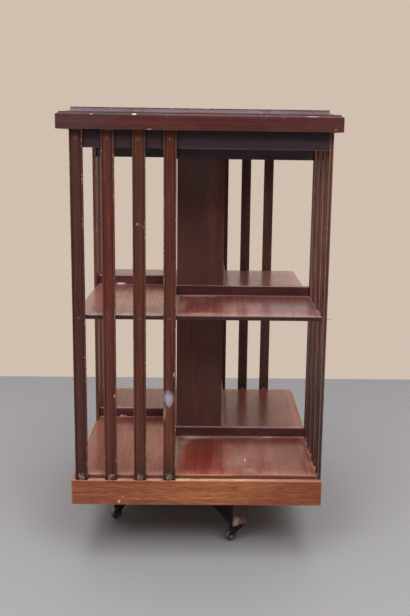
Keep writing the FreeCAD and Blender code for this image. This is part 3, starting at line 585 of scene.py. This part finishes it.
# slats
slatFinish = {
    "dark": (75, 35, 29), "main": (92, 45, 37), "light": (109, 57, 46), "stain": (82, 48, 42),
    "pore": (44, 20, 17), "rubbed": (134, 92, 78), "bare": (198, 160, 132),
    "rough": 0.36, "smudge": 0.16, "rub": 0.4, "chips": 0.9, "chipReach": 0.0005,
    "relief": 0.3, "cloud": 0.5, "gloss": 0.3,
    "ways": {"bandAcross": 140, "bandAlong": 5, "shares": (0.4, 0.35, 0.25)},
}
rightWear = {"rub": 0.7, "chips": 0.4, "rubbed": (148, 116, 106), "gloss": 0.15}
rightPaintedShade = {"level": 0.260, "tall": 0.220, "tone": (0.78, 0.87, 0.93)}  # painted shade: darker, greyer and bluer low down
slatTones = {  # red, green and blue against slatFinish, of each slat or side; the back's bluer, greyer tint is painted shade
    "slat_front_1": (0.94, 1.02, 1.06), "slat_front_2": (1.07, 1.1, 1.06),
    "slat_front_3": (1.07, 1.15, 1.03), "slat_front_4": (1.03, 1.08, 1.0),
    "slat_left": (1.28, 1.46, 1.46), "slat_back": (1.03, 1.34, 1.46),
    "slat_right": (1.21, 1.4, 1.48), "slat_right_1": (1.02, 1.12, 1.16),
}
slatMarks = {  # at: across from the slat's middle, in from its face, and the level
    "slat_front_4": [
        {**smearMark, "at": (-0.0030, 0.0, 0.3170), "size": (0.0118, 0.008, 0.0190),
         "colour": (182, 164, 182), "core": 0.3, "ragged": 1.0, "strength": 0.8, "dull": 0.3},
        {"at": (-0.0027, 0.0, 0.3140), "size": (0.0095, 0.006, 0.0220),
         "colour": (206, 194, 208), "core": 0.1, "ragged": 2.6, "strength": 0.4, "dull": 0.1},
        {**smearMark, "at": (-0.0087, 0.0, 0.2900), "size": (0.0045, 0.006, 0.0200),
         "colour": (162, 138, 144), "core": 0.1, "ragged": 1.0, "strength": 0.7, "dull": 0.3},
        {"at": (0.0081, 0.0005, 0.3591), "size": (0.0016, 0.004, 0.006),
         "colour": (206, 168, 140)},
        {**shadeMark, "at": (0.0005, 0.0025, 0.2350), "size": (0.0200, 0.012, 0.110),
         "colour": (136, 74, 46), "ragged": 1.2, "strength": 0.5},
    ],
    "slat_front_3": [
        {"at": (-0.0030, 0.0, 0.6280), "size": (0.0036, 0.004, 0.0016),
         "colour": (178, 138, 122)},
        {"at": (0.0020, 0.0, 0.6256), "size": (0.0070, 0.004, 0.0010),
         "colour": (140, 104, 92), "strength": 0.6},
        {"at": (0.0080, 0.0, 0.6222), "size": (0.0012, 0.004, 0.0026),
         "colour": (164, 124, 110)},
    ],
    "slat_front_2": [
        {**shadeMark, "at": (-0.0035, 0.0025, 0.5300), "size": (0.0120, 0.012, 0.130),
         "colour": (120, 42, 38), "ragged": 1.0, "strength": 0.6},
        {"at": (0.0085, 0.0005, 0.3191), "size": (0.0018, 0.004, 0.004),
         "colour": (200, 164, 140)},
    ],
}
slatNames = sorted(n for n in nodes if n.startswith("slat_") and n != "slat_screws")
for seed, name in enumerate(slatNames, 60):
    onRight = name.startswith("slat_right")
    tone = slatTones.get(name, slatTones.get(name[:-2]))
    finish = {**slatFinish, **(rightWear if onRight else {})}
    for key in ("dark", "main", "light", "stain"):
        finish[key] = [c * t for c, t in zip(slatFinish[key], tone)]
    low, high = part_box(name)
    x = (low[0] + high[0]) / 2
    y = (low[1] + high[1]) / 2
    marks = [  # darker low down and darkest along the foot, and a bruise round the screw there
        {**smearMark, "at": (x, y, low[2]), "size": (0.030, 0.030, 0.060), "glaze": True,
         "colour": [c * 0.72 for c in finish["main"]], "ragged": 1.0, "strength": 0.7},
        {"at": (x, y, low[2]), "size": (0.030, 0.030, 0.011), "colour": (40, 26, 24),
         "ragged": 2.0, "core": 0.4, "strength": 0.6},
        {"at": (x, y, low[2] + 0.006), "size": (0.006, 0.016, 0.007), "colour": (182, 158, 148),
         "ragged": 4.0, "core": 0.3, "strength": 0.75, "deep": 1.0},
    ]
    for mark in slatMarks.get(name, ()):
        across, inward, level = mark["at"]
        marks.append({**mark, "at": (x + across, low[1] + inward, level)})
    if onRight:
        # painted shade low on the right hand slats
        marks.append({**shadeMark, "at": (x, y, rightPaintedShade["level"]), "ragged": 0.6,
                      "size": (0.04, 0.04, rightPaintedShade["tall"]), "core": 0.3,
                      "colour": [c * t for c, t in zip(finish["main"], rightPaintedShade["tone"])]})
    finish["marks"] = marks
    dress(name, timber(name.replace("_", "-"), finish, "z", seed,
                       lambda spot, name=name: boxEdge(spot, name)))
print("slats dressed")

# a splinter lifted from the edge of the right hand corner slat
slatLow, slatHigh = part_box("slat_right_1")
splinter = {
    "root": (slatHigh[0] - 0.0013, slatLow[1] + 0.0010, middleTop - 0.0047),
    "long": 0.0105, "thick": 0.0006, "tip": 0.25, "lift": 0.0008, "cuts": 4,
    "dark": (120, 92, 74), "main": (150, 122, 100), "light": (178, 150, 126),
    "stain": (140, 110, 90), "pore": (90, 64, 50), "rough": 0.6,
}
shape = bmesh.new()
bmesh.ops.create_cone(shape, cap_ends=True, segments=8, radius1=splinter["thick"],
                      radius2=splinter["thick"] * splinter["tip"], depth=splinter["long"])
lengthwise = [e for e in shape.edges if e.calc_length() > splinter["long"] / 2]
bmesh.ops.subdivide_edges(shape, edges=lengthwise, cuts=splinter["cuts"], use_grid_fill=True)
bmesh.ops.rotate(shape, matrix=Matrix.Rotation(math.pi / 2, 3, "Y"), verts=shape.verts)
for corner in shape.verts:  # it points out from the slat and bends up towards the tip
    reach = corner.co.x / splinter["long"] + 0.5
    corner.co.z += splinter["lift"] * reach ** 2
middle = Vector(splinter["root"]) + Vector((splinter["long"] / 2, 0, 0))
bmesh.ops.translate(shape, vec=middle, verts=shape.verts)
bmesh.ops.recalc_face_normals(shape, faces=shape.faces)
mesh = bpy.data.meshes.new("slat_splinter")
shape.to_mesh(mesh)
shape.free()
mesh.materials.append(timber("slatSplinter", splinter, "x", 88))
sliver = bpy.data.objects.new("slat_splinter", mesh)
scene.collection.objects.link(sliver)
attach(sliver, "case")
print("splinter made")

# stand, its timber darkened with painted shade from the case above it
standTimberAndShade = {
    "dark": (38, 25, 20), "main": (50, 34, 27), "light": (64, 45, 35), "stain": (40, 30, 26),
    "pore": (24, 16, 12), "rubbed": (128, 100, 76), "bare": (190, 160, 124),
    "rough": 0.55, "smudge": 0.2, "rub": 0.4, "chips": 0.8, "relief": 0.8,
}
armTurn = math.radians(26)  # how far the cross is turned in plan
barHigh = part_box("cross_bar_lower")[1]
armReach = ((barHigh[1] * math.cos(armTurn) - barHigh[0] * math.sin(armTurn))
            / math.cos(2 * armTurn))  # half a bar's length, from its box


def armMark(across, level, **more):  # on the end of the near arm, across from its middle
    x = armReach * math.sin(armTurn) + across * math.cos(armTurn)
    y = across * math.sin(armTurn) - armReach * math.cos(armTurn)
    return {"at": (x, y, level), "turn": armTurn, **more}


armMarks = [  # a brown end, lighter than the painted shade on the rest of the stand, and raw wood along its foot
    armMark(0.0, 0.0595, size=(0.0260, 0.004, 0.036), colour=(100, 68, 58), ragged=0.4,
            core=0.9, strength=0.9, dull=0.0),
    armMark(0.0009, 0.0400, size=(0.0220, 0.006, 0.0170), colour=(128, 108, 88), ragged=1.4,
            core=0.2, strength=0.8),
    armMark(-0.0102, 0.0430, size=(0.0100, 0.006, 0.0190), colour=(196, 168, 152), ragged=1.2,
            core=0.2, strength=0.9),
]
standGrain = {"cross_bar_lower": "x", "cross_bar_upper": "y", "hub_block": "x",
              "center_post": "z", "bearing_block": "z", "guide_bush": "y"}
for seed, name in enumerate(standGrain, 91):
    finish = {**standTimberAndShade, "marks": armMarks if name.startswith("cross_bar") else ()}
    dress(name, timber(name.replace("_", "-"), finish, standGrain[name], seed))
print("stand dressed")


# casters, pivot and screws
def metal(name, finish, seed):  # aged metal, bright where rubbed and dull in the tarnish
    material, wires = blankMaterial(name)
    place = wires.node("TexCoord", out="Object")
    moved = wires.node("Mapping", {}, {"Vector": place, "Location": (seed, seed, 0)})
    patch = wires.node("TexNoise", {}, {"Vector": moved, "Scale": finish["patch"], "Detail": 5.0})
    grit = wires.node("TexNoise", {}, {"Vector": moved, "Scale": finish["grit"], "Detail": 3.0})
    tarnish = patch.fade(finish["bright"] - 0.08, finish["bright"] + 0.1)
    colour = tarnish.paint(tint(*finish["metal"]), tint(*finish["tarnish"]))
    colour = grit.fade(0.55, 0.75, 0.4).paint(colour, tint(*finish["dirt"]))
    bump = wires.node("Bump", {}, {"Strength": 0.35, "Distance": 0.0003,
                                   "Height": grit + patch * 0.5})
    closeMaterial(wires, wires.node("BsdfPrincipled", {}, {
        "Base Color": colour, "Roughness": finish["rough"] + tarnish * 0.25 + grit * 0.1,
        "Metallic": 1 - tarnish * finish["dull"], "Normal": bump}))
    return material


ironFinish = {"metal": (60, 58, 60), "tarnish": (26, 24, 26), "dirt": (50, 40, 34),
              "patch": 130, "grit": 900, "bright": 0.34, "rough": 0.38, "dull": 0.8}
wheelFinish = {"metal": (150, 148, 148), "tarnish": (84, 82, 82), "dirt": (52, 48, 46),
               "patch": 90, "grit": 700, "bright": 0.5, "rough": 0.36, "dull": 0.5}
steelFinish = {"metal": (170, 168, 164), "tarnish": (112, 106, 100), "dirt": (80, 66, 54),
               "patch": 120, "grit": 800, "bright": 0.55, "rough": 0.3, "dull": 0.4}
brassFinish = {"metal": (162, 126, 104), "tarnish": (104, 70, 58), "dirt": (60, 38, 32),
               "patch": 300, "grit": 1500, "bright": 0.5, "rough": 0.42, "dull": 0.7}
iron = metal("casterIron", ironFinish, 1.0)
wheel = metal("casterWheel", wheelFinish, 2.0)
steel = metal("pivotSteel", steelFinish, 3.0)
brass = metal("screwBrass", brassFinish, 4.0)
for number in "1234":
    dress("caster_fork_" + number, iron)
    dress("caster_axle_" + number, steel)
    dress("caster_wheel_" + number, wheel)
dress("caster_plates", iron)
dress("caster_screws", steel)
dress("pivot_pin", steel)
dress("pivot_cup", brass)
dress("slat_screws", brass)
print("metal dressed")

# floor and backdrop
stageLook = {"floor": (169, 168, 171), "wall": (210, 193, 177), "wallAt": 0.765, "wide": 6.4,
             "high": 2.6}


def plainMaterial(name, colour, backdrop=False):
    material, wires = blankMaterial(name)
    place = wires.node("TexCoord", out="Object")
    grime = wires.node("TexNoise", {}, {"Vector": place, "Scale": 3.0, "Detail": 3.0})
    shade = grime.fade(0.3, 0.7, 0.25).paint(tint(*colour), tint(*[c * 0.97 for c in colour]))
    shader = wires.node("BsdfPrincipled", {}, {"Base Color": shade, "Roughness": 0.8,
                                               "Specular IOR Level": 0.2})
    if backdrop:  # even to the eye and in gloss, and unseen from behind
        camera = wires.node("LightPath", out="Is Camera Ray")
        plain = camera.most(camera.other("Is Glossy Ray"))
        plain = plain.most(camera.other("Is Transmission Ray"))
        glow = wires.node("Emission", {}, {"Color": shade})
        shader = wires.node("MixShader", {}, {0: plain, 1: shader, 2: glow})
        back = wires.node("NewGeometry", out="Backfacing")
        clear = wires.node("BsdfTransparent")
        shader = wires.node("MixShader", {}, {0: back, 1: shader, 2: clear})
    closeMaterial(wires, shader)
    return material


def panel(name, across, up, centre, turn, material):  # a flat piece of the stage
    shape = bmesh.new()
    bmesh.ops.create_grid(shape, x_segments=1, y_segments=1, size=0.5)
    bmesh.ops.scale(shape, vec=(across, up, 1), verts=shape.verts)
    bmesh.ops.rotate(shape, matrix=Matrix.Rotation(turn, 3, "X"), verts=shape.verts)
    bmesh.ops.translate(shape, vec=centre, verts=shape.verts)
    mesh = bpy.data.meshes.new(name)
    shape.to_mesh(mesh)
    shape.free()
    mesh.materials.append(material)
    made = bpy.data.objects.new(name, mesh)
    scene.collection.objects.link(made)


wide = stageLook["wide"]
high = stageLook["high"]
panel("stageFloor", wide, wide, (0, 0, 0), 0.0, plainMaterial("stageFloor", stageLook["floor"]))
panel("stageWall", wide, high, (0, stageLook["wallAt"], high / 2), math.pi / 2,
      plainMaterial("stageWall", stageLook["wall"], backdrop=True))

cool = (0.95, 0.97, 1.0)
warm = (1.0, 0.98, 0.95)
caseMiddle = (0.0, 0.0, 0.45)
lamps = [
    {"name": "overhead", "at": (0.0, -0.3, 2.8), "aim": (0.0, -0.1, 0.4), "size": 2.2,
     "watts": 58, "colour": cool},
    {"name": "highLeft", "at": (-1.3, -1.9, 2.4), "aim": caseMiddle, "size": 1.2, "watts": 28,
     "colour": warm},
    {"name": "highRight", "at": (1.3, -1.9, 2.4), "aim": caseMiddle, "size": 1.2, "watts": 28,
     "colour": warm},
    {"name": "sideLeft", "at": (-2.3, -1.5, 1.1), "aim": caseMiddle, "size": 1.4, "watts": 2.5,
     "colour": warm},
    {"name": "sideRight", "at": (2.3, -1.5, 1.1), "aim": caseMiddle, "size": 1.4, "watts": 2.5,
     "colour": warm},
]
for lamp in lamps:
    data = bpy.data.lights.new(lamp["name"], "AREA")
    data.size = lamp["size"]
    data.energy = lamp["watts"]
    data.color = lamp["colour"]
    made = bpy.data.objects.new(lamp["name"], data)
    made.location = lamp["at"]
    towards = Vector(lamp["aim"]) - Vector(lamp["at"])
    made.rotation_euler = towards.to_track_quat("-Z", "Y").to_euler()
    scene.collection.objects.link(made)

studioAir = {"colour": (0.92, 0.95, 1.0, 1.0), "strength": 0.13}
world = bpy.data.worlds.new("studio")
scene.world = world
world.use_nodes = True
background = world.node_tree.nodes["Background"]
background.inputs["Color"].default_value = studioAir["colour"]
background.inputs["Strength"].default_value = studioAir["strength"]

cameraView = {"at": (0.01674, -1.37926, 0.7653), "yaw": 0.016306, "pitch": 0.154747,
              "roll": 0.014172, "lens": 39.49, "shift": (-0.0238, -0.0951)}
data = bpy.data.cameras.new("camera")
data.lens = cameraView["lens"]
data.shift_x, data.shift_y = cameraView["shift"]
camera = bpy.data.objects.new("camera", data)
camera.matrix_world = (Matrix.Translation(cameraView["at"])
                       @ Matrix.Rotation(-cameraView["yaw"], 4, "Z")
                       @ Matrix.Rotation(math.pi / 2 - cameraView["pitch"], 4, "X")
                       @ Matrix.Rotation(cameraView["roll"], 4, "Z"))
scene.collection.objects.link(camera)
scene.camera = camera
scene.view_settings.view_transform = "Standard"
print("stage, lamps and camera set")
